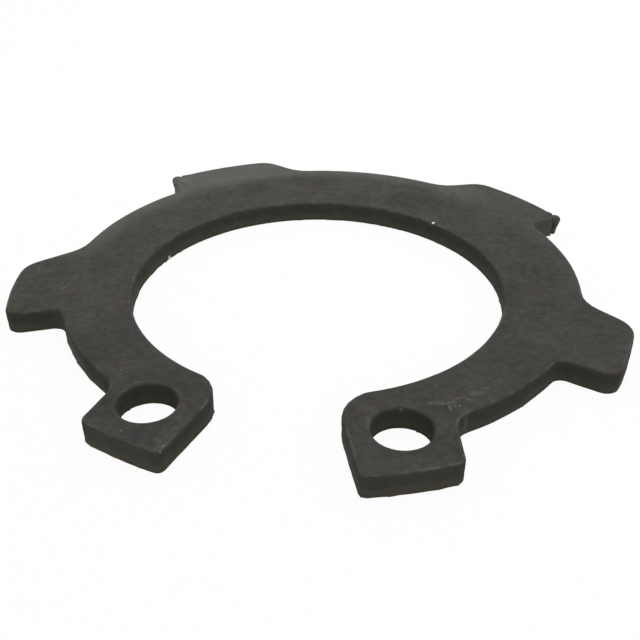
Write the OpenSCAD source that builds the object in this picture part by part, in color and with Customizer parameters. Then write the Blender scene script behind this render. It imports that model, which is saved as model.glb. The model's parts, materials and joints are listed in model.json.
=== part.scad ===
// Lugged external retaining ring, blanked in one piece from spring strip.
// The bore's axis is Z, the ring lies on the XY plane and its gap opens towards -Y.
// The upper face is the one with the rolled edge.

/* [Ring] */
// Diameter of the bore while the ring is free
bore_d = 20.5; // [19.5:0.1:22]
// Thickness of the strip
thickness = 1.2; // [0.9:0.05:1.8]
// Radial width of the body opposite the gap
back_width = 5.55; // [4.9:0.05:6.3]
// Radial width of the body's outer circle in line with the gap
front_width = 2.95; // [2.4:0.05:3.4]

/* [Ears] */
// Angle from the gap's middle to each ear's edge, at the bore
gap_angle = 14.1; // [12:0.1:16]
// Turn of the left ear's gap edge away from the bore's radius
left_gap_lean = 2; // [-2:0.1:6]
// Turn of the right ear's gap edge away from the bore's radius
right_gap_lean = 6; // [2:0.1:9]
// Width of the left ear, square to its gap edge
left_ear_width = 4.75; // [4.4:0.05:5.2]
// Width of the right ear, square to its gap edge
right_ear_width = 5.1; // [4.4:0.05:5.4]
// Turn of both outer flanks away from the gap's middle line
ear_flank_lean = 12; // [6:0.5:16]
// Reach of the ears' front edge past the bore, on the gap's middle line
ear_reach = 5.65; // [5:0.05:6.4]
// Radius of the ears' curved front edge
ear_front_r = 18.4; // [15:0.1:25]
// Rounding between the gap edge and the bore
ear_inner_r = 2.1; // [1:0.1:2.6]
// Rounding of the tip, between the gap edge and the front edge
ear_tip_r = 0.4; // [0.3:0.05:0.8]
// Rounding between the front edge and the outer flank
ear_outer_r = 0.6; // [0.4:0.1:1.2]
// Fillet between the outer flank and the body
ear_root_r = 1.2; // [0.4:0.1:1.4]

/* [Plier holes] */
// Diameter of both plier holes
hole_d = 2.8; // [2:0.1:3]
// Distance from the bore to a hole's centre, along the gap edge
hole_from_bore = 2.95; // [2.6:0.05:3.3]
// Distance from the gap edge to a hole's centre
hole_from_gap = 2.55; // [2.2:0.05:2.8]

/* [Lugs] */
// Reach of the lugs' circle past the bore at the back
lug_back_reach = 7.45; // [7:0.05:8.4]
// Reach of the lugs' circle past the bore at the gap
lug_front_reach = 6.25; // [5.7:0.05:6.8]
// Turn of each steep flank away from the body's radius
flank_lean = 3; // [0:0.1:6]
// Fillet between a steep flank and the body
flank_root_r = 0.6; // [0.3:0.1:0.9]
// Rounding between a steep flank and the lug's outer edge
flank_tip_r = 0.75; // [0.3:0.05:0.9]
// Rounding between a lug's outer edge and its ramp
ramp_tip_r = 1.6; // [0.8:0.1:2]
// Fillet between a ramp and the body
ramp_root_r = 2.1; // [1:0.1:2.6]
// Left lug: angle of the steep flank about the body's centre
left_flank = 206.7; // [204:0.1:210]
// Left lug: angle of the ramp's foot
left_ramp = 178.7; // [176:0.1:182]
// Left lug: turn of the ramp away from the body's radius
left_slope = 48; // [40:1:54]
// Right lug: angle of the steep flank about the body's centre
right_flank = -26.5; // [-30:0.1:-24]
// Right lug: angle of the ramp's foot
right_ramp = -2.8; // [-5:0.1:0]
// Right lug: turn of the ramp away from the body's radius
right_slope = 35; // [30:1:46]
// Rear left lug: angle of the steep flank about the body's centre
rear_left_flank = 138.3; // [135:0.1:141]
// Rear left lug: angle of the ramp's foot
rear_left_ramp = 106.6; // [103:0.1:109]
// Rear left lug: turn of the ramp away from the body's radius
rear_left_slope = 47; // [42:1:56]
// Rear right lug: angle of the steep flank about the body's centre
rear_right_flank = 34.8; // [31:0.1:37]
// Rear right lug: angle of the ramp's foot
rear_right_ramp = 65.4; // [63:0.1:69]
// Rear right lug: turn of the ramp away from the body's radius
rear_right_slope = 45; // [42:1:56]

/* [Edges] */
// Width of the rolled edge round the upper face
roll_width = 0.18; // [0.1:0.01:0.22]
// Depth of the rolled edge round the upper face
roll_depth = 0.14; // [0.08:0.01:0.2]
// Radius of the shear nib left at the steep corner of each rear lug
nib_r = 0.25; // [0.2:0.01:0.3]
// How far a shear nib stands out of its corner
nib_proud = 0.33; // [0.2:0.01:0.35]

/* [Hidden] */

// Steps of a curve, as a length along it and as a turn
step_length = 0.8;
step_turn = 15;
// Steps across the rolled edge
roll_steps = 4;
// Radius of a shear nib's lower end, as a share of its head's
nib_tail = 0.7;
// Length by which a cut runs past a face
past = 1;
// How far inside the bore the ears' inner corners run out, so that the bore trims them
bore_trim = 0.05;
// Points closer than this count as one
same_point = 0.01;
$fn = 96;

bore_r = bore_d / 2;
inner_r = bore_r - bore_trim;
hole_r = hole_d / 2;
body_r = bore_r + (back_width + front_width) / 2;
body_c = [0, (back_width - front_width) / 2];
lug_r = bore_r + (lug_back_reach + lug_front_reach) / 2;
lug_c = [0, (lug_back_reach - lug_front_reach) / 2];
front_c = [0, ear_front_r - bore_r - ear_reach];
gap_middle = -90;

function polar(a, r = 1, c = [0, 0]) = c + r * [cos(a), sin(a)];
function bearing(v) = atan2(v[1], v[0]);
function left_of(u) = [-u[1], u[0]];
function half_turn(a) = a - 360 * floor((a + 180) / 360);
function flip(list) = [for (i = [len(list) - 1:-1:0]) list[i]];

// Points of an arc about c, from angle a0 to angle a1
function arc(c, r, a0, a1) =
    let (turn = abs(a1 - a0), n = max(1, ceil(turn * PI / 180 * r / step_length), ceil(turn / step_turn)))
    [for (i = [0:n]) polar(a0 + (a1 - a0) * i / n, r, c)];

// Points of an arc about c from p to q, the short way round
function sweep(c, p, q) =
    let (a = bearing(p - c))
    arc(c, norm(p - c), a, a + half_turn(bearing(q - c) - a));

// A fillet of radius f between the line through p along u and the circle (c, r).
// side: 1 on the line's left, -1 on its right; out: 1 outside the circle, -1 inside it.
// Gives its centre, where it touches the line and where it touches the circle.
function fillet(p, u, side, c, r, f, out) =
    let (
        q = p + side * f * left_of(u),
        w = q - c,
        along = w * u,
        k = q + (sqrt(max(0, along * along - w * w + pow(r + out * f, 2))) - along) * u
    )
    [k, k - side * f * left_of(u), c + r * (k - c) / norm(k - c)];

// Outline of one lug, from the foot of its steep flank to the foot of its ramp.
// s is 1 when the ramp lies anticlockwise of the flank, -1 when it lies clockwise.
function lug(s, flank, ramp, slope) =
    let (
        p = polar(flank, body_r, body_c),
        u = polar(flank + s * flank_lean),
        q = polar(ramp, body_r, body_c),
        v = polar(ramp - s * slope),
        root = fillet(p, u, -s, body_c, body_r, flank_root_r, 1),
        tip = fillet(p, u, s, lug_c, lug_r, flank_tip_r, -1),
        top = fillet(q, v, -s, lug_c, lug_r, ramp_tip_r, -1),
        foot = fillet(q, v, s, body_c, body_r, ramp_root_r, 1)
    )
    concat(
        sweep(root[0], root[2], root[1]),
        sweep(tip[0], tip[1], tip[2]),
        sweep(lug_c, tip[2], top[2]),
        sweep(top[0], top[2], top[1]),
        sweep(foot[0], foot[1], foot[2])
    );

// Centre of the shear nib, at a lug's corner between its steep flank and its outer edge
function nib_centre(s, flank) =
    let (tip = fillet(polar(flank, body_r, body_c), polar(flank + s * flank_lean), s, lug_c, lug_r, flank_tip_r, -1))
    tip[0] + (flank_tip_r + nib_proud - nib_r) * polar(bearing(tip[1] + tip[2] - 2 * tip[0]));

// Start and direction of an ear's gap edge; s is 1 for the right ear, -1 for the left
function gap_start(s) = polar(gap_middle + s * gap_angle, bore_r);
function gap_along(s) = polar(gap_middle + s * (gap_angle + (s > 0 ? right_gap_lean : left_gap_lean)));

// Outline of one ear, from the bore to the body
function ear(s, width) =
    let (
        p = gap_start(s),
        u = gap_along(s),
        q = p + ear_reach / 2 * u + s * width * left_of(u),
        v = polar(gap_middle + s * ear_flank_lean),
        inner = fillet(p, u, s, [0, 0], inner_r, ear_inner_r, 1),
        tip = fillet(p, u, s, front_c, ear_front_r, ear_tip_r, -1),
        outer = fillet(q, v, -s, front_c, ear_front_r, ear_outer_r, -1),
        root = fillet(q, v, s, body_c, body_r, ear_root_r, 1)
    )
    concat(
        sweep(inner[0], inner[2], inner[1]),
        sweep(tip[0], tip[1], tip[2]),
        sweep(front_c, tip[2], outer[2]),
        sweep(outer[0], outer[2], outer[1]),
        sweep(root[0], root[1], root[2])
    );

// Centre of the plier hole in an ear
function hole_centre(s) =
    let (u = gap_along(s))
    gap_start(s) + hole_from_bore * u + s * hole_from_gap * left_of(u);

// Outer outline, anticlockwise from the right ear to the left ear
function outer_outline() =
    let (parts = [
        ear(1, right_ear_width),
        lug(1, right_flank, right_ramp, right_slope),
        lug(1, rear_right_flank, rear_right_ramp, rear_right_slope),
        flip(lug(-1, rear_left_flank, rear_left_ramp, rear_left_slope)),
        flip(lug(-1, left_flank, left_ramp, left_slope)),
        flip(ear(-1, left_ear_width))
    ])
    [for (i = [0:len(parts) - 1]) each concat(
        parts[i],
        i + 1 < len(parts) ? sweep(body_c, parts[i][len(parts[i]) - 1], parts[i + 1][0]) : []
    )];

// A closed list without its doubled points
function distinct(list) =
    [for (i = [0:len(list) - 1]) if (norm(list[i] - list[(i + 1) % len(list)]) > same_point) list[i]];

// The blank's outline: the outer outline, closed across the disc that the bore takes away
function blank_outline() =
    let (outer = outer_outline())
    distinct(concat(outer, [for (i = [len(outer) - 1, 0]) outer[i] / 2]));

// A closed outline moved into the metal by d, each corner along its bisector
function inset(list, d) =
    let (n = len(list))
    [for (i = [0:n - 1])
        let (
            before = list[i] - list[(i + n - 1) % n],
            after = list[(i + 1) % n] - list[i],
            m = left_of(before / norm(before)) + left_of(after / norm(after))
        )
        list[i] + 2 * d * m / (m * m)];

// Inset and height of each level of an edge, running past both faces
edge_levels = concat(
    [[0, -past]],
    [for (i = [0:roll_steps]) let (a = 90 * i / roll_steps)
        [roll_width * (1 - cos(a)), thickness - roll_depth * (1 - sin(a))]],
    [[roll_width, thickness + past]]
);

// The blank's outline, skinned through the levels of its edge
module skin() {
    outline = blank_outline();
    n = len(outline);
    levels = len(edge_levels);
    points = [for (e = edge_levels) each [for (p = inset(outline, e[0])) [p[0], p[1], e[1]]]];
    walls = [for (k = [0:levels - 2]) for (i = [0:n - 1])
        let (j = (i + 1) % n)
        each [[k * n + i, (k + 1) * n + j, k * n + j], [k * n + i, (k + 1) * n + i, (k + 1) * n + j]]];
    lower = [for (i = [0:n - 1]) i];
    upper = [for (i = [n - 1:-1:0]) (levels - 1) * n + i];
    polyhedron(points = points, faces = concat(walls, [lower, upper]), convexity = 10);
}

// A round opening through the strip, with the same rolled edge
module opening(r) {
    rotate_extrude()
        polygon(concat(
            [[0, -past]],
            [for (e = edge_levels) [r, 0] + e],
            [[0, thickness + past]]
        ));
}

// Bead of metal where two shear cuts met: round at the upper face, thinner down the corner
module nib(s, flank) {
    c = nib_centre(s, flank);
    translate([c[0], c[1], 0])
        rotate_extrude($fn = 32)
            polygon(concat(
                [[0, 0], [nib_tail * nib_r, 0], [nib_tail * nib_r, thickness / 3], [nib_r, thickness - nib_r]],
                arc([0, thickness - nib_r], nib_r, 0, 90)
            ));
}

module retaining_ring() {
    color([0.27, 0.275, 0.255])
        difference() {
            union() {
                intersection() {
                    skin();
                    cylinder(r = 2 * lug_r, h = thickness);
                }
                nib(1, rear_right_flank);
                nib(-1, rear_left_flank);
            }
            opening(bore_r);
            for (s = [1, -1]) {
                c = hole_centre(s);
                translate([c[0], c[1], 0])
                    opening(hole_r);
            }
        }
}

retaining_ring();
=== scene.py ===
"""Looks and studio for a lugged retaining ring, blanked from spring strip and black phosphated."""

import json
from math import cos, radians, sin

import bmesh
import bpy
from bpy.props import FloatProperty, FloatVectorProperty, PointerProperty
from bpy.types import Operator, Panel, PropertyGroup
from mathutils import Matrix, Vector, noise


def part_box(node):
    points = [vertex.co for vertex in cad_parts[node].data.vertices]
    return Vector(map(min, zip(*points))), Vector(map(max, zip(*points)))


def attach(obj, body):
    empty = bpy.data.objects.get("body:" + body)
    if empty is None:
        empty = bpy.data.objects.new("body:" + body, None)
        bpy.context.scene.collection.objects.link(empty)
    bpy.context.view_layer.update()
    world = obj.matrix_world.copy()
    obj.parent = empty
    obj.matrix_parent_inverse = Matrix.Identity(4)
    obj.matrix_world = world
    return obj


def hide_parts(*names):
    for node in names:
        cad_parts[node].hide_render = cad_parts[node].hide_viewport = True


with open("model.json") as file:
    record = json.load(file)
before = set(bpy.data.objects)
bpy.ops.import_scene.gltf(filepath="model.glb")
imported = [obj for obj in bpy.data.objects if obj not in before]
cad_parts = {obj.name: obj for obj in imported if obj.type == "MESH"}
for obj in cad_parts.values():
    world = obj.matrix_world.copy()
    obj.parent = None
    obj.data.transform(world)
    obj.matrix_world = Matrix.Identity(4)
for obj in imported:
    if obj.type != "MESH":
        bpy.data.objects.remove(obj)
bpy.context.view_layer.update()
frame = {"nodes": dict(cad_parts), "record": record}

bl_info = {
    "name": "Lugged retaining ring",
    "version": (1, 0, 0),
    "blender": (4, 5, 0),
    "location": "View3D > Sidebar > Retaining ring",
    "description": "Builds a blanked, black phosphated retaining ring and a plain studio round it",
    "category": "Object",
}

MM = 0.001
RING = "retaining_ring"
SLOT = "spring_steel"

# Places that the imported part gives
mounts = {mount["name"]: mount for mount in frame["record"]["mounts"]}
LOW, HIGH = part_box(RING)
THICKNESS = HIGH.z - LOW.z
BORE_R = mounts["shaft_seat"]["dims"]["r_mm"] * MM
HOLE_R = mounts["plier_hole_right"]["dims"]["r_mm"] * MM
LEFT_HOLE = Vector(mounts["plier_hole_left"]["pos_m"])
RIGHT_HOLE = Vector(mounts["plier_hole_right"]["pos_m"])

# Circle of the body between the lugs, whose centre is set back from the bore's
BODY_R = 14.5 * MM
BODY_Y = 1.3 * MM

# Shear nibs at the steep corners of the rear lugs: axis, swell at the foot and swell at the top
NIBS = [
    (Vector((-12.1, 12.45)) * MM, 0.14 * MM, 0.17 * MM),
    (Vector((13.4, 10.95)) * MM, 0, 0.16 * MM),
]
NIB_R = 0.25 * MM

# Distances from a nib's axis at which its own skin ends, its own edges end, and the fillet round it ends
NIB_SKIN = 1.2 * NIB_R
NIB_EDGES = 2 * NIB_R
FILLET_END = 3.6 * NIB_R

# Nicks in the bore's lower edge, as places, radii and depths
NICKS = [
    (Vector((-9.75, 3.19, 0)) * MM, 0.22 * MM, 0.12 * MM),
    (Vector((2.52, 9.93, 0)) * MM, 0.2 * MM, 0.1 * MM),
]

# Cells are fine where the nicks' depth, which goes on below zero round them, is above this
NICK_SURROUND = -0.5 * MM

# Chipped band of a rim: its middle, out from the rim, its half width and its lowest level
CHIPS_MIDDLE = 0.1 * MM
CHIPS_REACH = 0.28 * MM
CHIPS_LOWEST = 0.5 * THICKNESS

# How far behind its own middle each rim's chips start, that of the right hole and that of the bore
HOLE_CHIPS_Y = 0.2 * HOLE_R
BORE_CHIPS_Y = 0.25 * BORE_R

# Noise above which the band is chipped
CHIPS_FROM = 0.45

# Sizes of the hollows: in the upper face, along the outline, in torn metal and in chips
FACE_HOLLOWS = 3.2 * MM
OUTLINE_HOLLOWS = 1.3 * MM
TORN_HOLLOWS = 0.28 * MM
CHIP_HOLLOWS = 0.3 * MM

# Torn metal starts this high on a wall, and is fully torn this much lower
TORN_TOP = 0.5 * THICKNESS
TORN_BLEND = 0.12 * THICKNESS

# The walls are cut in layers of this height, up to this level
LAYER = 0.16 * MM
LAYERS_TOP = 0.62 * THICKNESS

# Distances at which mesh points count as one, and as lying on a cutting plane
MERGE = 0.001 * MM
ON_PLANE = 0.0005 * MM

# A face is flat where the upright part of its normal is above this
FLAT = 0.9995

# A point is on a wall where the outward parts of its faces' normals add up to more than this
WALL = 0.001

# Bends at which faces count as one plane, and at which an edge is sharp, on a nib and elsewhere
COPLANAR = radians(0.4)
SHARP_ON_NIB = radians(100)
SHARP = radians(35)

# Handling marks on the upper face, in millimetres and degrees: x, y, length, width, turn, strength
LIGHT_MARKS = [
    (5.83, 8.62, 0.24, 0.15, 60, 1.0),
    (7.5, -9.72, 0.9, 0.22, 14, 0.17),
    (8.45, -10.2, 0.5, 0.3, 60, 0.08),
    (9.05, -8.7, 0.5, 0.26, 10, 0.16),
    (-6.4, 13.6, 0.5, 0.1, 20, 0.2),
    (7.1, 8.0, 0.08, 0.04, 70, 0.6),
    (8.0, 6.7, 0.07, 0.05, 80, 0.6),
    (10.7, 6.0, 0.06, 0.05, 0, 0.7),
    (9.2, 4.6, 0.05, 0.05, 0, 0.4),
    (11.3, 10.2, 0.07, 0.05, 0, 0.5),
    (11.5, 0.5, 0.05, 0.05, 0, 0.6),
    (12.5, -0.6, 0.05, 0.04, 0, 0.5),
    (12.0, -2.3, 0.05, 0.04, 0, 0.4),
    (-7.8, -9.9, 0.06, 0.05, 0, 0.7),
    (-6.2, -14.2, 0.06, 0.05, 0, 0.6),
    (-4.1, -15.2, 0.09, 0.05, 30, 0.6),
    (-13.7, -3.0, 0.5, 0.05, 62, 0.35),
    (7.9, -10.05, 0.34, 0.08, -72, 0.3),
    (7.77, -9.7, 0.14, 0.12, 0, 0.28),
    (6.96, -9.84, 0.1, 0.09, 0, 0.3),
    (8.1, -9.86, 0.07, 0.06, 0, 0.4),
    (8.32, -9.82, 0.06, 0.1, 0, 0.45),
    (8.63, -10.49, 0.12, 0.08, 20, 0.5),
    (5.73, -10.43, 0.08, 0.1, 0, 0.9),
    (-4.07, -14.85, 0.04, 0.09, 0, 0.5),
    (-3.93, -15.12, 0.05, 0.06, 0, 0.45),
    (-11.3, 11.2, 0.16, 0.1, 50, 0.45),
    (8.25, -9.22, 0.6, 0.12, 35, 0.13),
    (9.45, -8.25, 0.45, 0.13, 30, 0.13),
    (9.95, -7.6, 0.4, 0.1, 35, 0.12),
    (9.68, -9.05, 0.3, 0.06, -68, 0.18),
    (7.16, -8.43, 0.11, 0.09, 0, 0.25),
    (7.54, -9.84, 0.12, 0.1, 0, 0.3),
]

# Light lines on the upper face, the first three painted highlights along the rear rim and the left hole's
# rim, the last two rubbed lines at the right ear: centre x and y, radius, half width, middle, half turn,
# strength
HIGHLIGHT_AND_RUB_ARCS = [
    (0, 1.3, 14.13, 0.1, 117, 15, 0.1),
    (0, 1.3, 14.32, 0.15, 84, 24, 0.22),
    (-5.765, -12.068, 1.64, 0.07, 118, 34, 0.16),
    (9.2, -11.15, 0.98, 0.07, 140, 46, 0.2),
    (8.39, -9.9, 0.73, 0.06, 69, 24, 0.36),
]

# Darker and paler patches of the coat, and over the left rear nib's knob a pale patch of painted light that
# lifts the shade of its crease: x, y, length, width, turn, strength
DARK_PATCHES = [
    (4.54, 11.64, 2.9, 1.9, 10, 0.85),
    (-13.48, 0.41, 0.4, 0.17, 20, 0.9),
    (10.4, 7.75, 0.8, 0.25, 15, 0.6),
    (10.2, 0.2, 2.6, 1.6, 75, 0.35),
    (-6.7, 11.3, 2.0, 0.9, 25, 0.5),
    (7.8, -10.2, 0.45, 0.25, -80, 0.6),
]
PALE_PATCHES_AND_KNOB_LIGHT = [
    (4.29, -11.21, 1.3, 0.6, -80, 0.75),
    (-3.86, -12.69, 1.3, 0.6, -72, 0.7),
    (-4.3, -14.7, 1.7, 1.4, -70, 0.9),
    # Painted light over the left rear nib's knob, lifting the shade of the crease beside it
    (-11.8, 12.0, 0.9, 0.7, 0, 0.7),
    (7.7, 13.6, 2.6, 2.2, 10, 0.75),
    (-16.0, -4.4, 1.9, 1.1, -64, 0.9),
    (-3.5, 12.6, 1.8, 1.6, 10, 0.4),
    (16.2, -3.4, 1.6, 0.8, -84, 0.6),
]

# Paler parts of the walls: painted light at the nibs, strongest there, that lifts the shade of their flanks
# and creases, and faint paler places along the ring's left and the left ear's front
PALE_WALLS_AND_NIB_LIGHT = [
    (-11.9, 11.6, 1.3, 1.3, 0, 1.0),
    (12.9, 10.2, 1.6, 1.6, 0, 0.24),
    (-11.9, -7.1, 3.0, 0.8, -55, 0.07),
    (-16.4, -4.4, 2.0, 1.0, -75, 0.05),
    (-6.3, -14.7, 2.6, 0.6, -21, 0.09),
]

# Painted glint of the torn metal in the first nick
NICK_GLINT = [(NICKS[0][0].x / MM, NICKS[0][0].y / MM, 0.17, 0.17, 0, 1.0)]


# Settings

class RingEdges(PropertyGroup):
    """How uneven the blanked ring is."""

    cell: FloatProperty(
        name="Cell", description="Size of the mesh's cells",
        default=0.4 * MM, min=0.2 * MM, max=2 * MM, precision=5, subtype="DISTANCE", unit="LENGTH")
    fine_cell: FloatProperty(
        name="Fine cell", description="Size of the cells along the chipped rims",
        default=0.13 * MM, min=0.05 * MM, max=1 * MM, precision=5, subtype="DISTANCE", unit="LENGTH")
    outline_waver: FloatProperty(
        name="Outline waver", description="How far the outline wavers into the metal",
        default=0.035 * MM, min=0, max=0.2 * MM, precision=6, subtype="DISTANCE", unit="LENGTH")
    face_waver: FloatProperty(
        name="Face waver", description="Depth of the upper face's shallow hollows",
        default=0.012 * MM, min=0, max=0.1 * MM, precision=6, subtype="DISTANCE", unit="LENGTH")
    fracture_depth: FloatProperty(
        name="Fracture depth", description="Depth of the torn metal in the lower part of the walls",
        default=0.03 * MM, min=0, max=0.1 * MM, precision=6, subtype="DISTANCE", unit="LENGTH")
    chip_depth: FloatProperty(
        name="Chip depth", description="Depth of the chips in the rims of the bore and the right hole",
        default=0.09 * MM, min=0, max=0.2 * MM, precision=6, subtype="DISTANCE", unit="LENGTH")
    nib_fill: FloatProperty(
        name="Nib fill", description="Metal that fills the corners between the nibs and their lugs",
        default=0.14 * MM, min=0, max=0.3 * MM, precision=6, subtype="DISTANCE", unit="LENGTH")


class RingFinish(PropertyGroup):
    """Colours and surface of the phosphate coat, with its painted sheen, highlights and glint."""

    coat: FloatVectorProperty(
        name="Coat", description="Colour of the phosphate coat",
        default=(0.0415, 0.042, 0.0355), min=0, max=1, size=3, subtype="COLOR")
    olive: FloatVectorProperty(
        name="Olive", description="Colour of the coat's greenish patches",
        default=(0.0402, 0.0438, 0.0308), min=0, max=1, size=3, subtype="COLOR")
    rust: FloatVectorProperty(
        name="Rust", description="Colour of the coat's reddish brown patches",
        default=(0.0468, 0.0398, 0.0366), min=0, max=1, size=3, subtype="COLOR")
    slate: FloatVectorProperty(
        name="Slate", description="Colour of the coat's bluish patches",
        default=(0.0358, 0.0394, 0.0356), min=0, max=1, size=3, subtype="COLOR")
    pit: FloatVectorProperty(
        name="Pit", description="Colour of the coat's pits",
        default=(0.012, 0.012, 0.010), min=0, max=1, size=3, subtype="COLOR")
    burnish: FloatVectorProperty(
        name="Burnish", description="Colour of the sheared upper part of the walls",
        default=(0.0515, 0.0535, 0.0455), min=0, max=1, size=3, subtype="COLOR")
    fracture: FloatVectorProperty(
        name="Fracture", description="Colour of the torn lower part of the walls",
        default=(0.081, 0.0785, 0.064), min=0, max=1, size=3, subtype="COLOR")
    # Painted reflection of the floor along the walls' lower edge
    foot: FloatVectorProperty(
        name="Foot Reflection", description="Colour of the painted reflection along the walls' lower edge",
        default=(0.085, 0.083, 0.034), min=0, max=1, size=3, subtype="COLOR")
    # Also the colour of the painted light on the walls round the nibs
    pale: FloatVectorProperty(
        name="Pale wall", description="Colour that the paler parts of the walls tend to",
        default=(0.28, 0.27, 0.23), min=0, max=1, size=3, subtype="COLOR")
    ruddy: FloatVectorProperty(
        name="Ruddy wall", description="Colour that the foot of the ears' fronts tends to",
        default=(0.13, 0.06, 0.045), min=0, max=1, size=3, subtype="COLOR")
    # Also the colour toward which the painted sheen and the painted edge highlights are mixed
    worn: FloatVectorProperty(
        name="Worn", description="Colour of the metal in scratches and on rubbed edges",
        default=(0.24, 0.24, 0.22), min=0, max=1, size=3, subtype="COLOR")
    # Also the colour of the painted glint in the first nick
    bare: FloatVectorProperty(
        name="Bare", description="Colour of the brightest specks of bare metal",
        default=(0.8, 0.8, 0.75), min=0, max=1, size=3, subtype="COLOR")
    patch_size: FloatProperty(
        name="Patch size", description="Size of the coat's colour patches",
        default=1.7 * MM, min=0.2 * MM, max=20 * MM, precision=5, subtype="DISTANCE", unit="LENGTH")
    grain_size: FloatProperty(
        name="Grain size", description="Size of the coat's grain",
        default=0.11 * MM, min=0.02 * MM, max=2 * MM, precision=5, subtype="DISTANCE", unit="LENGTH")
    grain_depth: FloatProperty(
        name="Grain depth", description="Height of the coat's grain",
        default=0.009 * MM, min=0, max=0.1 * MM, precision=6, subtype="DISTANCE", unit="LENGTH")
    pits: FloatProperty(
        name="Pits", description="Strength of the coat's dark pits",
        default=0.25, min=0, max=1, subtype="FACTOR")
    dark_patches: FloatProperty(
        name="Dark patches", description="How much darker the coat's dark patches are",
        default=0.35, min=0, max=1, subtype="FACTOR")
    # Also sets the painted light over the left rear nib's knob
    pale_patches_and_knob_light: FloatProperty(
        name="Pale patches", description="How much lighter the coat's pale patches are",
        default=0.45, min=0, max=1, subtype="FACTOR")
    # Painted sheen along the body's rear rim and on the rear lugs, mixed toward the worn colour
    rim_sheen: FloatProperty(
        name="Rim sheen", description="Painted sheen on the upper face along the body's rear rim",
        default=0.185, min=0, max=1, subtype="FACTOR")
    lug_sheen: FloatProperty(
        name="Lug sheen", description="Painted sheen on the rear lugs beyond that of the rim",
        default=0.045, min=0, max=1, subtype="FACTOR")
    # Rolled edges: partly wear, partly a painted highlight; on the ears' fronts a painted highlight line
    edge_wear_and_highlight: FloatProperty(
        name="Edge wear and highlight", description="Wear and painted highlight on the rolled edges",
        default=0.17, min=0, max=1, subtype="FACTOR")
    ear_edge_highlight: FloatProperty(
        name="Ear edge highlight", description="Painted highlight on the ears' front edges beyond that of the others",
        default=0.02, min=0, max=1, subtype="FACTOR")
    front_walls: FloatProperty(
        name="Front walls", description="How pale the ears' fronts are",
        default=0.035, min=0, max=1, subtype="FACTOR")
    ruddy_foot: FloatProperty(
        name="Ruddy foot", description="How ruddy the foot of the ears' fronts is",
        default=0.315, min=0, max=1, subtype="FACTOR")
    roughness: FloatProperty(
        name="Roughness", description="Mean roughness of the coat",
        default=0.58, min=0, max=1, subtype="FACTOR")
    worn_gloss: FloatProperty(
        name="Worn gloss", description="How much smoother worn metal is than the coat",
        default=0.15, min=0, max=1, subtype="FACTOR")
    wall_roughness: FloatProperty(
        name="Wall roughness", description="How much rougher the walls are than the coat",
        default=0.3, min=0, max=1, subtype="FACTOR")
    worn_metal: FloatProperty(
        name="Worn metal", description="How metallic fully worn places are",
        default=0.6, min=0, max=1, subtype="FACTOR")
    specular: FloatProperty(
        name="Specular", description="Strength of the coat's plain reflection",
        default=0.12, min=0, max=1, subtype="FACTOR")


class Studio(PropertyGroup):
    """Camera, lamps and floor."""

    lens: FloatProperty(
        name="Lens", description="Focal length of the camera, in millimetres",
        default=50.58, min=10, max=300)
    distance: FloatProperty(
        name="Distance", description="From the camera to the point it looks at",
        default=49.17 * MM, min=20 * MM, max=1, precision=5, subtype="DISTANCE", unit="LENGTH")
    azimuth: FloatProperty(
        name="Azimuth", description="Turn of the camera round the bore's axis, away from the gap's middle",
        default=radians(9.947), subtype="ANGLE", unit="ROTATION")
    elevation: FloatProperty(
        name="Elevation", description="Height of the camera above the floor, as an angle",
        default=radians(32.624), subtype="ANGLE", unit="ROTATION")
    roll: FloatProperty(
        name="Roll", description="Turn of the camera about its own axis",
        default=radians(0.199), subtype="ANGLE", unit="ROTATION")
    aim: FloatVectorProperty(
        name="Aim", description="Point on the floor that the camera looks at",
        default=(0.473 * MM, -1.975 * MM, 0), size=3, precision=6, subtype="XYZ", unit="LENGTH")
    key_place: FloatVectorProperty(
        name="Key place", description="Place of the large lamp overhead",
        default=(0.02, 0.05, 0.2), size=3, precision=4, subtype="XYZ", unit="LENGTH")
    key_size: FloatProperty(
        name="Key size", description="Side of the large lamp overhead",
        default=0.22, min=0.01, max=2, subtype="DISTANCE", unit="LENGTH")
    key_power: FloatProperty(
        name="Key power", description="Power of the large lamp overhead",
        default=0.3, min=0, max=10, unit="POWER")
    fill_place: FloatVectorProperty(
        name="Fill place", description="Place of the lamp in front",
        default=(0.05, -0.2, 0.12), size=3, precision=4, subtype="XYZ", unit="LENGTH")
    fill_size: FloatProperty(
        name="Fill size", description="Side of the lamp in front",
        default=0.12, min=0.01, max=2, subtype="DISTANCE", unit="LENGTH")
    fill_power: FloatProperty(
        name="Fill power", description="Power of the lamp in front",
        default=0.05, min=0, max=10, unit="POWER")
    world: FloatProperty(
        name="World", description="Strength of the light from all round",
        default=0.45, min=0, max=2)
    floor_half: FloatProperty(
        name="Floor half", description="Half of the floor's side",
        default=0.6, min=0.1, max=10, subtype="DISTANCE", unit="LENGTH")
    floor_gap: FloatProperty(
        name="Floor gap", description="How far the floor is below the ring's lower face",
        default=0.02 * MM, min=0, max=1 * MM, precision=6, subtype="DISTANCE", unit="LENGTH")
    shadow: FloatProperty(
        name="Shadow", description="Share of the floor's look that takes light and shadow",
        default=0.06, min=0, max=1, subtype="FACTOR")


# Shape of the ring

def places(low, high, step):
    """Evenly spaced places between two ends."""
    count = max(1, round((high - low) / step))
    return [low + (high - low) * i / count for i in range(1, count)]


def cut(shape, axis, levels, chosen=None):
    """Cuts the whole shape, or the faces that a test chooses, by planes across one axis."""
    across = Vector([float(axis == i) for i in range(3)])
    for level in levels:
        if chosen is None:
            geom = shape.verts[:] + shape.edges[:] + shape.faces[:]
        else:
            faces = [face for face in shape.faces if chosen(face)]
            edges = {edge for face in faces for edge in face.edges}
            geom = faces + list(edges) + list({vert for edge in edges for vert in edge.verts})
        bmesh.ops.bisect_plane(
            shape, geom=geom, dist=ON_PLANE, plane_co=across * level, plane_no=across,
            clear_inner=False, clear_outer=False)


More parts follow.
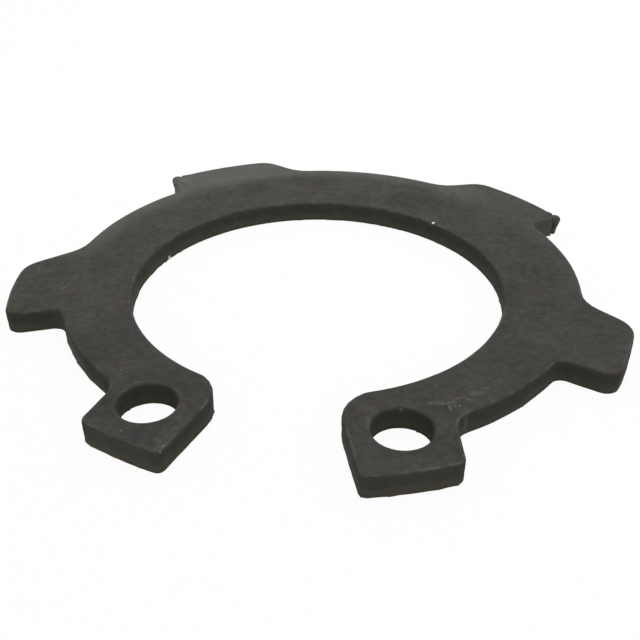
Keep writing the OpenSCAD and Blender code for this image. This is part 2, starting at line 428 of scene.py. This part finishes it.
def nick_depth(point):
    """How far a nick pushes a point into the metal, below zero where none reaches it."""
    return max(depth * (1 - (point - place).length / radius) for place, radius, depth in NICKS)


def near_chipped_rim(point):
    """Whether a point lies in the upper part of a rim that is chipped, on the side away from the gap."""
    if point.z < CHIPS_LOWEST:
        return False
    from_bore = point.xy
    from_hole = from_bore - RIGHT_HOLE.xy
    if abs(from_hole.length - HOLE_R - CHIPS_MIDDLE) < CHIPS_REACH and from_hole.y > HOLE_CHIPS_Y:
        return True
    return abs(from_bore.length - BORE_R - CHIPS_MIDDLE) < CHIPS_REACH and from_bore.y > BORE_CHIPS_Y


def is_detailed(face):
    """Whether a face needs finer cells, for a chip or a nick."""
    middle = face.calc_center_median()
    return near_chipped_rim(middle) or nick_depth(middle) > NICK_SURROUND


def from_nib(flat_point):
    """Distance from the nearest nib's axis, in plan."""
    return min((flat_point - axis).length for axis, foot, top in NIBS)


def mark_sharp_edges(shape):
    """Keeps the lower edges and the borders of the flat faces crisp."""
    for edge in shape.edges:
        if len(edge.link_faces) != 2:
            continue
        one, other = (abs(face.normal.z) > FLAT for face in edge.link_faces)
        middle = (edge.verts[0].co.xy + edge.verts[1].co.xy) / 2
        on_nib = from_nib(middle) < NIB_EDGES and not (one or other)
        edge.smooth = one == other and edge.calc_face_angle() < (SHARP_ON_NIB if on_nib else SHARP)


def wave(point, size, seed=0.0):
    """Smooth noise from 0 to 1 with hollows about as wide as the size."""
    return 0.5 + 0.5 * noise.noise(point / size + Vector((seed, 2 * seed, -seed)))


def nib_swell(point):
    """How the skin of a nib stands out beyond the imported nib, more at its foot or at its top."""
    for axis, foot, top in NIBS:
        away = point.xy - axis
        if away.length < NIB_SKIN:
            return away.normalized() * (foot + (top - foot) * point.z / THICKNESS)
    return Vector((0, 0))


def nib_fillet(point):
    """How full the corner between a nib and its lug is, from 0 to 1."""
    reach = from_nib(point.xy)
    if reach <= NIB_SKIN:
        return 0
    return min(1, max(0, (FILLET_END - reach) / (FILLET_END - NIB_SKIN)))


def wall_move(point, outward, edges):
    """How blanking and tumbling move a point of a wall or rolled edge, in plan."""
    plan = Vector((point.x, point.y, 0))
    depth = edges.outline_waver * wave(plan, OUTLINE_HOLLOWS, seed=3.7)
    torn = min(1, max(0, (TORN_TOP - point.z) / TORN_BLEND))
    depth += torn * edges.fracture_depth * wave(point, TORN_HOLLOWS, seed=9.1)
    depth += max(0, nick_depth(point))
    depth -= edges.nib_fill * nib_fillet(point)
    if near_chipped_rim(point):
        depth += edges.chip_depth * max(0, 2 * (wave(point, CHIP_HOLLOWS, seed=5.3) - CHIPS_FROM))
    return nib_swell(point) - outward * depth


def roughen(shape, edges):
    """Moves the mesh's points a little, as blanking and tumbling leave them."""
    moves = {}
    for vert in shape.verts:
        walls = Vector((0, 0))
        for face in vert.link_faces:
            walls += face.normal.xy * (1 - abs(face.normal.z))
        move = Vector((0, 0, 0))
        if all(face.normal.z > FLAT for face in vert.link_faces):
            move.z = -edges.face_waver * wave(vert.co, FACE_HOLLOWS)
        elif walls.length > WALL:
            move.xy = wall_move(vert.co, walls.normalized(), edges)
        moves[vert] = move
    facing = {face: face.normal.copy() for face in shape.faces}
    for vert, move in moves.items():
        vert.co += move

    # Where the moves would fold a face over, its points go back to their old places
    for face, normal in facing.items():
        face.normal_update()
        if face.normal.dot(normal) < 0:
            for vert in face.verts:
                vert.co -= moves.pop(vert, Vector((0, 0, 0)))


def ring_shape(edges):
    """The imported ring's own shape, cut in small cells and made as uneven as a blanked ring is."""
    shape = bmesh.new()
    shape.from_mesh(frame["nodes"][RING].data)
    bmesh.ops.remove_doubles(shape, verts=shape.verts[:], dist=MERGE)
    bmesh.ops.dissolve_limit(
        shape, angle_limit=COPLANAR, use_dissolve_boundaries=False,
        verts=shape.verts[:], edges=shape.edges[:])
    cut(shape, 0, places(LOW.x, HIGH.x, edges.cell))
    cut(shape, 1, places(LOW.y, HIGH.y, edges.cell))
    cut(shape, 2, places(0, LAYERS_TOP, LAYER))
    cut(shape, 0, places(-BORE_R, BORE_R, edges.fine_cell), is_detailed)
    cut(shape, 1, places(RIGHT_HOLE.y, BORE_R, edges.fine_cell), is_detailed)
    mark_sharp_edges(shape)
    roughen(shape, edges)
    return shape


# Node wiring

class Wiring:
    """Adds nodes to one tree, and links or sets each input that it is given."""

    def __init__(self, tree):
        self.tree = tree

    def add(self, kind, inputs=None, **settings):
        """A new node of a kind, with its settings and inputs."""
        node = self.tree.nodes.new(kind)
        for name, value in settings.items():
            setattr(node, name, value)
        for key, value in (inputs or {}).items():
            if isinstance(value, bpy.types.NodeSocket):
                self.tree.links.new(value, node.inputs[key])
            else:
                node.inputs[key].default_value = value
        return node

    def group(self, tree, inputs):
        """The outputs of a node group that is given its inputs."""
        return self.add("ShaderNodeGroup", inputs, node_tree=tree).outputs

    def send(self, node, values):
        """Links each value to the input of its name."""
        for name, value in values.items():
            self.tree.links.new(value, node.inputs[name])

    def math(self, operation, one, *others, clamp=False):
        """Arithmetic on one value, or on several, one after the other."""
        for other in others or (0.0,):
            node = self.add("ShaderNodeMath", {0: one, 1: other}, operation=operation, use_clamp=clamp)
            one = node.outputs[0]
        return one

    def vector(self, operation, one, other):
        """Arithmetic on two vectors."""
        return self.add("ShaderNodeVectorMath", {0: one, 1: other}, operation=operation).outputs[0]

    def scaled(self, vector, factor):
        """A vector or colour times a factor."""
        return self.add("ShaderNodeVectorMath", {0: vector, "Scale": factor}, operation="SCALE").outputs[0]

    def length(self, vector):
        """The length of a vector."""
        return self.add("ShaderNodeVectorMath", {0: vector}, operation="LENGTH").outputs["Value"]

    def parts(self, vector):
        """The X, Y and Z of a vector."""
        return self.add("ShaderNodeSeparateXYZ", {0: vector}).outputs

    def from_axis(self, place, x, y):
        """The way from an upright axis to a place, in plan, and how far it is."""
        moved = self.vector("ADD", place, (-x, -y, 0))
        flat = self.vector("MULTIPLY", moved, (1, 1, 0))
        return flat, self.length(flat)

    def noise(self, place, size, detail=2.0, roughness=0.5, distortion=0.0):
        """Noise from 0 to 1 at a place in millimetres, with lumps about as wide as the size."""
        inputs = {
            "Vector": place, "Scale": 1 / size, "Detail": detail,
            "Roughness": roughness, "Distortion": distortion,
        }
        return self.add("ShaderNodeTexNoise", inputs).outputs["Fac"]

    def step(self, value, low, high, start=0.0, end=1.0):
        """A smooth step of the value between low and high, from start to end."""
        inputs = {"Value": value, "From Min": low, "From Max": high, "To Min": start, "To Max": end}
        return self.add("ShaderNodeMapRange", inputs, interpolation_type="SMOOTHSTEP").outputs[0]

    def mix(self, factor, one, other):
        """One colour changed to another by a factor."""
        return self.add("ShaderNodeMix", {0: factor, 6: one, 7: other}, data_type="RGBA").outputs[2]


def new_group(name, inputs, outputs):
    """A shader node group with named sockets, its wiring, what it is given, and its last node."""
    tree = bpy.data.node_groups.new(name, "ShaderNodeTree")
    for socket, kind, value in inputs:
        made = tree.interface.new_socket(socket, in_out="INPUT", socket_type="NodeSocket" + kind)
        if value is not None:
            made.default_value = value
    for socket, kind in outputs:
        tree.interface.new_socket(socket, in_out="OUTPUT", socket_type="NodeSocket" + kind)
    wire = Wiring(tree)
    return tree, wire, wire.add("NodeGroupInput").outputs, wire.add("NodeGroupOutput")


def new_shading(data):
    """The wiring of a material or world whose nodes are cleared."""
    data.use_nodes = True
    data.node_tree.nodes.clear()
    return Wiring(data.node_tree)


def rgba(colour):
    """An opaque colour for a colour socket."""
    return (*colour, 1.0)


def colour_sockets(*names):
    """Inputs of a node group that take colours, dark until they are given one."""
    return [(name, "Color", (0.03, 0.03, 0.03, 1)) for name in names]


# Effects of the finish

def phosphate_bloom():
    """Colour patches of a phosphate coat: olive, rust and slate over the plain coat, finely mottled."""
    tree, wire, given, result = new_group(
        "phosphate_bloom",
        [("Place", "Vector", None), *colour_sockets("Coat", "Olive", "Rust", "Slate"),
         ("Patch Size", "Float", 2.5)],
        [("Colour", "Color")])
    place = wire.scaled(given["Place"], wire.math("DIVIDE", 1.0, given["Patch Size"]))
    shifts = {"Olive": (7.3, 1.1, 0.4), "Rust": (-3.9, 5.7, 2.2), "Slate": (1.6, -8.4, 5.1)}
    colour = given["Coat"]
    for name, shift in shifts.items():
        moved = wire.vector("ADD", place, shift)
        patches = wire.noise(moved, 1.0, detail=3.0, roughness=0.6, distortion=0.4)
        colour = wire.mix(wire.step(patches, 0.48, 0.68, end=0.9), colour, given[name])
    broad = wire.noise(place, 1.6, detail=2.0)
    fine = wire.noise(place, 0.24, detail=4.0, roughness=0.65)
    broad_tone = wire.step(broad, 0.3, 0.7, start=0.84, end=1.1)
    fine_tone = wire.step(fine, 0.3, 0.7, start=-0.17, end=0.2)
    wire.send(result, {"Colour": wire.scaled(colour, wire.math("ADD", broad_tone, fine_tone))})
    return tree


def blanked_wall():
    """Walls of a blanked part: burnished by the punch above, torn below, with a painted reflection of the
    floor along the foot.
    """
    torn_height, drawn_height = 0.02, 0.004
    tree, wire, given, result = new_group(
        "blanked_wall",
        [("Place", "Vector", None), ("Normal", "Vector", None), ("Lips", "Float", 0.0),
         ("Thickness", "Float", 1.2), *colour_sockets("Burnish", "Fracture", "Foot Reflection")],
        [("Colour", "Color"), ("Wall", "Float"), ("Height", "Float")])
    place = given["Place"]
    level = wire.math("DIVIDE", wire.parts(place)["Z"], given["Thickness"])
    streaks = wire.add("ShaderNodeMapping", {"Vector": place, "Scale": (1.0, 1.0, 0.22)}).outputs[0]
    drawn = wire.noise(streaks, 0.13, detail=3.0, roughness=0.6)
    rough = wire.noise(place, 0.16, detail=4.0, roughness=0.7)

    # The torn metal starts at an uneven level
    uneven = wire.step(wire.noise(place, 0.7, detail=3.0), 0.25, 0.75, start=-0.12, end=0.12)
    torn = wire.step(wire.math("ADD", level, uneven), 0.22, 0.62, start=1.0, end=0.0)
    colour = wire.mix(torn, given["Burnish"], given["Fracture"])
    # Drawn streaks take a little of the foot colour, and the lowest part of the walls takes it as a painted
    # reflection along the foot
    colour = wire.mix(wire.step(drawn, 0.35, 0.75, end=0.07), colour, given["Foot Reflection"])
    foot_reflection_level = wire.step(level, 0.0, 0.13, start=1.0, end=0.0)
    foot = wire.math("MULTIPLY", foot_reflection_level, wire.step(rough, 0.3, 0.6, start=0.3))
    colour = wire.mix(foot, colour, given["Foot Reflection"])
    torn_relief = wire.math("MULTIPLY", rough, torn, torn_height)
    relief = wire.math("ADD", torn_relief, wire.math("MULTIPLY", drawn, drawn_height))

    # Lips count as wall up to where they are almost flat, other rolled edges only where they are steep
    flatness = wire.math("ABSOLUTE", wire.parts(given["Normal"])["Z"])
    steep = wire.step(flatness, 0.12, 0.6, start=1.0, end=0.0)
    rolled = wire.step(flatness, 0.93, 0.99, start=1.0, end=0.0)
    wall = wire.math("MAXIMUM", steep, wire.math("MULTIPLY", rolled, given["Lips"]))
    wire.send(result, {"Colour": colour, "Wall": wall, "Height": relief})
    return tree


def inner_lips():
    """Rolled edge of the bore and of both holes, on the side away from the gap, as dark as the walls."""
    full_to, gone_from = 0.22, 0.34
    tree, wire, given, result = new_group("inner_lips", [("Place", "Vector", None)], [("Lips", "Float")])
    lips = []
    for centre, radius in ((Vector((0, 0)), BORE_R), (LEFT_HOLE.xy, HOLE_R), (RIGHT_HOLE.xy, HOLE_R)):
        flat, reach = wire.from_axis(given["Place"], centre.x / MM, centre.y / MM)
        ring = wire.step(reach, radius / MM + full_to, radius / MM + gone_from, start=1.0, end=0.0)
        behind = wire.step(wire.parts(flat)["Y"], -0.3, 0.4)
        lips.append(wire.math("MULTIPLY", ring, behind))
    wire.send(result, {"Lips": wire.math("MAXIMUM", *lips)})
    return tree


def coat_grain():
    """Fine crystals of the coat, with sparse pits."""
    lump_height, pit_depth = 1.6, 1.5
    tree, wire, given, result = new_group(
        "coat_grain",
        [("Place", "Vector", None), ("Size", "Float", 0.1), ("Depth", "Float", 0.008)],
        [("Height", "Float"), ("Pits", "Float")])
    place = wire.scaled(given["Place"], wire.math("DIVIDE", 1.0, given["Size"]))
    crystals = wire.noise(place, 1.0, detail=4.0, roughness=0.7)
    lumps = wire.noise(place, 6.0, detail=2.0)
    cells = wire.add("ShaderNodeTexVoronoi", {"Vector": place, "Scale": 0.22}).outputs["Distance"]
    middles = wire.step(cells, 0.06, 0.2, start=1.0, end=0.0)
    pits = wire.math("MULTIPLY", middles, wire.step(lumps, 0.5, 0.62))
    height = wire.math("ADD", crystals, wire.math("MULTIPLY", lumps, lump_height))
    height = wire.math("SUBTRACT", height, wire.math("MULTIPLY", pits, pit_depth))
    wire.send(result, {"Height": wire.math("MULTIPLY", height, given["Depth"]), "Pits": pits})
    return tree


def marks_group(name, marks, softness, frayed=0.0, height=0.25, level=THICKNESS / MM):
    """Soft oval marks, each at its place on one level and reaching a height above and below it."""
    tree, wire, given, result = new_group(name, [("Place", "Vector", None)], [("Marks", "Float")])
    place = given["Place"]
    if frayed:
        blur = wire.add("ShaderNodeTexNoise", {"Vector": place, "Scale": 1.4, "Detail": 3.0})
        shift = wire.vector("SUBTRACT", blur.outputs["Color"], (0.5, 0.5, 0.5))
        place = wire.vector("ADD", place, wire.scaled(shift, frayed))
    found = []
    for x, y, length, width, turn, strength in marks:
        inputs = {
            "Vector": place, "Location": (x, y, level), "Rotation": (0, 0, radians(turn)),
            "Scale": (length, width, height),
        }
        oval = wire.add("ShaderNodeMapping", inputs, vector_type="TEXTURE").outputs[0]
        found.append(wire.step(wire.length(oval), 1 - softness, 1.0, start=strength, end=0.0))
    wire.send(result, {"Marks": wire.math("MAXIMUM", *found)})
    return tree


def arcs_group(name, arcs):
    """Thin soft lines along parts of circles."""
    full_share = 0.6
    tree, wire, given, result = new_group(name, [("Place", "Vector", None)], [("Marks", "Float")])
    found = []
    for x, y, radius, half_width, middle, half_turn, strength in arcs:
        flat, reach = wire.from_axis(given["Place"], x, y)
        off = wire.math("ABSOLUTE", wire.math("SUBTRACT", reach, radius))
        line = wire.step(off, 0.0, half_width, start=strength, end=0.0)
        aim = (cos(radians(middle)), sin(radians(middle)), 0)
        along = wire.add("ShaderNodeVectorMath", {0: flat, 1: aim}, operation="DOT_PRODUCT").outputs["Value"]
        turned = wire.math("DIVIDE", along, reach)
        ends = wire.step(turned, cos(radians(half_turn)), cos(radians(full_share * half_turn)))
        found.append(wire.math("MULTIPLY", line, ends))
    wire.send(result, {"Marks": wire.math("MAXIMUM", *found)})
    return tree


def marks_on(wire, place, tree):
    """The strength of a group's marks at a place."""
    return wire.group(tree, {"Place": place})["Marks"]


def coat_colour(wire, finish, place, body, body_reach):
    """Colour of the upper face: the coat's bloom, a painted sheen at the rear rim and lugs, and its patches.
    """
    bloom = wire.group(phosphate_bloom(), {
        "Place": place, "Coat": rgba(finish.coat), "Olive": rgba(finish.olive),
        "Rust": rgba(finish.rust), "Slate": rgba(finish.slate), "Patch Size": finish.patch_size / MM,
    })

    # Painted sheen: outside a circle on the face the rear is a shade lighter, and a little more so on the
    # lugs
    body_radius = BODY_R / MM
    rim = wire.step(body_reach, body_radius - 1.7, body_radius - 0.4, end=finish.rim_sheen)
    lugs = wire.step(body_reach, body_radius - 0.5, body_radius - 0.35, end=finish.lug_sheen)
    rear = wire.step(body["Y"], -3.0, 3.0)
    leftwards = wire.step(body["X"], 2.0, 10.0, start=1.0, end=0.2)
    lighter = wire.math("MULTIPLY", wire.math("ADD", rim, lugs), wire.math("MULTIPLY", rear, leftwards))
    # The painted sheen lightens the coat toward the worn colour
    colour = wire.mix(lighter, bloom["Colour"], rgba(finish.worn))

    dark = marks_on(wire, place, marks_group("dark_patches", DARK_PATCHES, softness=0.6, frayed=0.8))
    # The pale patches include painted light over the left rear nib's knob
    pale = marks_on(wire, place, marks_group("pale_patches_and_knob_light", PALE_PATCHES_AND_KNOB_LIGHT, softness=0.9, frayed=1.2))
    shade = wire.math("SUBTRACT", 1.0, wire.math("MULTIPLY", dark, finish.dark_patches))
    shade = wire.math("ADD", shade, wire.math("MULTIPLY", pale, finish.pale_patches_and_knob_light))
    return wire.scaled(colour, shade)


def wall_colour(wire, finish, place, body, facing, plain, lips):
    """Colour of the walls, paler in places, with painted light round the nibs, and in front of the ears,
    where their foot is ruddy.
    """
    in_front = wire.step(body["Y"], -9.0, -14.0)
    fronts = wire.math("MULTIPLY", in_front, wire.step(facing["Y"], -0.4, -0.9))
    # Round the nibs these pale marks are painted light that lifts the shade of the flanks and creases
    flanks = marks_group("pale_walls_and_nib_light", PALE_WALLS_AND_NIB_LIGHT, softness=0.5, frayed=0.2, height=20.0)
    front_tone = wire.math("MULTIPLY", fronts, finish.front_walls)
    paler = wire.math("MAXIMUM", front_tone, marks_on(wire, place, flanks))
    paler = wire.math("SUBTRACT", paler, lips, clamp=True)
    colour = wire.mix(paler, plain, rgba(finish.pale))

    low = wire.step(wire.parts(place)["Z"], 0.1, 0.5, start=1.0, end=0.0)
    blotches = wire.step(wire.noise(place, 1.4), 0.45, 0.6, end=finish.ruddy_foot)
    return wire.mix(wire.math("MULTIPLY", low, fronts, blotches), colour, rgba(finish.ruddy))


def wear(wire, finish, place, body, facing, light):
    """How worn the coat is in the handling marks, with the rolled edges partly worn and partly a painted
    highlight, a painted highlight along the ears' front edges, and light lines that are painted highlights
    along the rear rim and the left hole and rubbed lines at the right ear.
    """
    steep_end = wire.step(facing["Z"], 0.6, 0.85)
    flat_end = wire.step(facing["Z"], 0.96, 0.995, start=1.0, end=0.0)
    rolled = wire.math("MULTIPLY", steep_end, flat_end)
    rubbing = wire.noise(place, 1.1, detail=4.0, roughness=0.6)
    # Rolled edges lighten with wear and a painted highlight
    rubbed = wire.math("MULTIPLY", rolled, wire.step(rubbing, 0.4, 0.7, end=finish.edge_wear_and_highlight))
    # Painted highlight line along the ears' front edges
    front = wire.math("MULTIPLY", rolled, wire.step(body["Y"], -13.0, -15.0, end=finish.ear_edge_highlight))
    # Painted highlights along the rear rim and the left hole's rim, and rubbed lines at the right ear
    arcs = marks_on(wire, place, arcs_group("highlight_and_rub_arcs", HIGHLIGHT_AND_RUB_ARCS))
    breaks = wire.step(wire.noise(place, 0.25, detail=3.0), 0.3, 0.6, start=0.5)
    scuffs = wire.step(wire.noise(place, 0.4, detail=3.0), 0.35, 0.6, start=0.3)
    return wire.math(
        "MAXIMUM", wire.math("ADD", rubbed, front),
        wire.math("MULTIPLY", light, breaks), wire.math("MULTIPLY", arcs, scuffs))


def coat_roughness(wire, finish, place, worn, wall):
    """Roughness of the coat, a little uneven, smoother where it is worn and rougher on the walls."""
    sheen = wire.step(wire.noise(place, 0.9, detail=4.0, roughness=0.6), 0.3, 0.7, start=-0.07, end=0.08)
    roughness = wire.math("ADD", sheen, finish.roughness)
    roughness = wire.math("SUBTRACT", roughness, wire.math("MULTIPLY", worn, finish.worn_gloss))
    return wire.math("ADD", roughness, wire.math("MULTIPLY", wall, finish.wall_roughness), clamp=True)


def spring_steel(finish):
    """Black phosphated spring steel, satin, with blanked walls, worn edges and handling marks, and painted
    sheen, highlights and a glint.
    """
    material = bpy.data.materials.new(SLOT)
    wire = new_shading(material)
    coordinates = wire.add("ShaderNodeTexCoord").outputs
    place = wire.scaled(coordinates["Object"], 1 / MM)
    normal = coordinates["Normal"]
    facing = wire.parts(normal)
    from_body, body_reach = wire.from_axis(place, 0, BODY_Y / MM)
    body = wire.parts(from_body)

    lips = wire.group(inner_lips(), {"Place": place})["Lips"]
    wall = wire.group(blanked_wall(), {
        "Place": place, "Normal": normal, "Lips": lips, "Thickness": THICKNESS / MM,
        "Burnish": rgba(finish.burnish), "Fracture": rgba(finish.fracture), "Foot Reflection": rgba(finish.foot),
    })
    grain = wire.group(coat_grain(), {
        "Place": place, "Size": finish.grain_size / MM, "Depth": finish.grain_depth / MM,
    })
    colour = coat_colour(wire, finish, place, body, body_reach)
    colour = wire.mix(wire.math("MULTIPLY", grain["Pits"], finish.pits), colour, rgba(finish.pit))
    sides = wall_colour(wire, finish, place, body, facing, wall["Colour"], lips)
    colour = wire.mix(wall["Wall"], colour, sides)

    # Worn places are lighter, the strongest marks show bare metal, and the first nick gets a painted glint in
    # the same bright colour
    light = marks_on(wire, place, marks_group("light_marks", LIGHT_MARKS, softness=0.7, frayed=0.05))
    nick = marks_on(wire, place, marks_group("nick_glint", NICK_GLINT, softness=0.4, height=0.2, level=0.05))
    worn = wear(wire, finish, place, body, facing, light)
    colour = wire.mix(worn, colour, rgba(finish.worn))
    bare = wire.math("MAXIMUM", wire.step(light, 0.8, 1.0), nick)
    colour = wire.mix(bare, colour, rgba(finish.bare))

    roughness = coat_roughness(wire, finish, place, worn, wall["Wall"])
    relief = wire.math("ADD", grain["Height"], wire.math("MULTIPLY", wall["Height"], wall["Wall"]))
    bump = wire.add("ShaderNodeBump", {"Height": relief, "Distance": MM, "Strength": 1.0})
    steel = wire.add("ShaderNodeBsdfPrincipled", {
        "Base Color": colour, "Roughness": roughness, "Normal": bump.outputs[0],
        "Metallic": wire.math("MULTIPLY", worn, finish.worn_metal),
        "IOR": 1.45, "Specular IOR Level": finish.specular,
    })
    wire.add("ShaderNodeOutputMaterial", {"Surface": steel.outputs[0]})
    return material


# Studio

def seen_directly(wire):
    """1 for camera, glossy and transmission rays, 0 for the rays that light the ring."""
    path = wire.add("ShaderNodeLightPath").outputs
    return wire.math("MAXIMUM", path["Is Camera Ray"], path["Is Glossy Ray"], path["Is Transmission Ray"])


def floor_paint(shadow):
    """White where it is seen, with a faint shadow, and a plain mid grey for the light it throws back."""
    material = bpy.data.materials.new("studio_floor")
    wire = new_shading(material)
    white = wire.add("ShaderNodeEmission", {"Color": rgba((1, 1, 1)), "Strength": 1.0})
    lit = wire.add("ShaderNodeBsdfDiffuse", {"Color": rgba((0.95, 0.95, 0.95))})
    grey = wire.add("ShaderNodeBsdfDiffuse", {"Color": rgba((0.4, 0.4, 0.38))})
    shown = wire.add("ShaderNodeMixShader", {0: shadow, 1: white.outputs[0], 2: lit.outputs[0]})
    mixed = wire.add("ShaderNodeMixShader", {0: seen_directly(wire), 1: grey.outputs[0], 2: shown.outputs[0]})
    wire.add("ShaderNodeOutputMaterial", {"Surface": mixed.outputs[0]})
    return material


def add_floor(studio):
    """A plain pale floor just under the ring."""
    shape = bmesh.new()
    below = Matrix.Translation((0, 0, -studio.floor_gap))
    bmesh.ops.create_grid(shape, x_segments=1, y_segments=1, size=studio.floor_half, matrix=below)
    mesh = bpy.data.meshes.new("studio_floor")
    shape.to_mesh(mesh)
    shape.free()
    mesh.materials.append(floor_paint(studio.shadow))
    floor = bpy.data.objects.new("studio_floor", mesh)
    bpy.context.scene.collection.objects.link(floor)


def add_lamp(name, place, size, power):
    """A square area lamp that faces the ring."""
    lamp = bpy.data.lights.new(name, "AREA")
    lamp.shape = "SQUARE"
    lamp.size = size
    lamp.energy = power
    holder = bpy.data.objects.new(name, lamp)
    holder.location = place
    holder.rotation_euler = (-Vector(place)).to_track_quat("-Z", "Y").to_euler()
    bpy.context.scene.collection.objects.link(holder)


def add_world(strength):
    """Even light from all round, and white wherever it is seen."""
    world = bpy.data.worlds.new("studio_world")
    wire = new_shading(world)
    light = wire.step(seen_directly(wire), 0.0, 1.0, start=strength, end=1.0)
    background = wire.add("ShaderNodeBackground", {"Color": rgba((1, 1, 1)), "Strength": light})
    wire.add("ShaderNodeOutputWorld", {"Surface": background.outputs[0]})
    bpy.context.scene.world = world


def add_camera(studio):
    """The camera, on its sphere round the point that it looks at."""
    azimuth, elevation, roll = studio.azimuth, studio.elevation, studio.roll
    back = Vector((sin(azimuth) * cos(elevation), -cos(azimuth) * cos(elevation), sin(elevation)))
    right = Vector((cos(azimuth), sin(azimuth), 0))
    up = back.cross(right)
    axes = (right * cos(roll) + up * sin(roll), up * cos(roll) - right * sin(roll), back)
    lens = bpy.data.cameras.new("studio_camera")
    lens.sensor_width = 36
    lens.lens = studio.lens
    lens.clip_start = MM
    lens.clip_end = 10
    camera = bpy.data.objects.new("studio_camera", lens)
    place = Vector(studio.aim) + studio.distance * back
    camera.matrix_world = Matrix.Translation(place) @ Matrix(axes).transposed().to_4x4()
    bpy.context.scene.collection.objects.link(camera)
    bpy.context.scene.camera = camera


# Operators and panel

class OBJECT_OT_retaining_ring(Operator):
    """Build the ring with its blanked edges and its phosphate coat"""

    bl_idname = "object.retaining_ring_build"
    bl_label = "Retaining ring"
    bl_options = {"REGISTER", "UNDO"}

    def execute(self, context):
        shape = ring_shape(context.scene.ring_edges)
        open_edges = sum(len(edge.link_faces) != 2 for edge in shape.edges)
        if open_edges:
            raise RuntimeError(f"the ring's mesh has {open_edges} open edges")
        mesh = bpy.data.meshes.new("phosphated_ring")
        shape.to_mesh(mesh)
        shape.free()
        mesh.materials.append(spring_steel(context.scene.ring_finish))
        for polygon in mesh.polygons:
            polygon.use_smooth = True
        ring = bpy.data.objects.new("phosphated_ring", mesh)
        context.scene.collection.objects.link(ring)
        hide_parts(RING)
        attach(ring, "root")
        return {"FINISHED"}


class SCENE_OT_ring_studio(Operator):
    """Set up the floor, the lamps, the world and the camera"""

    bl_idname = "scene.ring_studio_build"
    bl_label = "Studio"
    bl_options = {"REGISTER", "UNDO"}

    def execute(self, context):
        studio = context.scene.ring_studio
        context.scene.view_settings.view_transform = "Standard"
        add_floor(studio)
        add_lamp("key_lamp", studio.key_place, studio.key_size, studio.key_power)
        add_lamp("fill_lamp", studio.fill_place, studio.fill_size, studio.fill_power)
        add_world(studio.world)
        add_camera(studio)
        return {"FINISHED"}


class VIEW3D_PT_retaining_ring(Panel):
    """The settings of the ring and its studio, and the buttons that build them"""

    bl_idname = "VIEW3D_PT_retaining_ring"
    bl_label = "Retaining ring"
    bl_space_type = "VIEW_3D"
    bl_region_type = "UI"
    bl_category = "Retaining ring"

    def list_settings(self, settings):
        """Lists each setting of a group."""
        for key in settings.__annotations__:
            self.layout.prop(settings, key)

    def draw(self, context):
        self.list_settings(context.scene.ring_edges)
        self.list_settings(context.scene.ring_finish)
        self.layout.operator(OBJECT_OT_retaining_ring.bl_idname)
        self.list_settings(context.scene.ring_studio)
        self.layout.operator(SCENE_OT_ring_studio.bl_idname)


SETTINGS = {"ring_edges": RingEdges, "ring_finish": RingFinish, "ring_studio": Studio}
CLASSES = (*SETTINGS.values(), OBJECT_OT_retaining_ring, SCENE_OT_ring_studio, VIEW3D_PT_retaining_ring)


def register():
    """Registers the classes and gives each scene its settings."""
    for item in CLASSES:
        bpy.utils.register_class(item)
    for name, item in SETTINGS.items():
        setattr(bpy.types.Scene, name, PointerProperty(type=item))


def unregister():
    """Takes the settings and the classes away again."""
    for name in SETTINGS:
        delattr(bpy.types.Scene, name)
    for item in reversed(CLASSES):
        bpy.utils.unregister_class(item)


def main():
    """Builds the ring and its studio."""
    register()
    bpy.ops.object.retaining_ring_build()
    bpy.ops.scene.ring_studio_build()


if __name__ == "__main__":
    main()
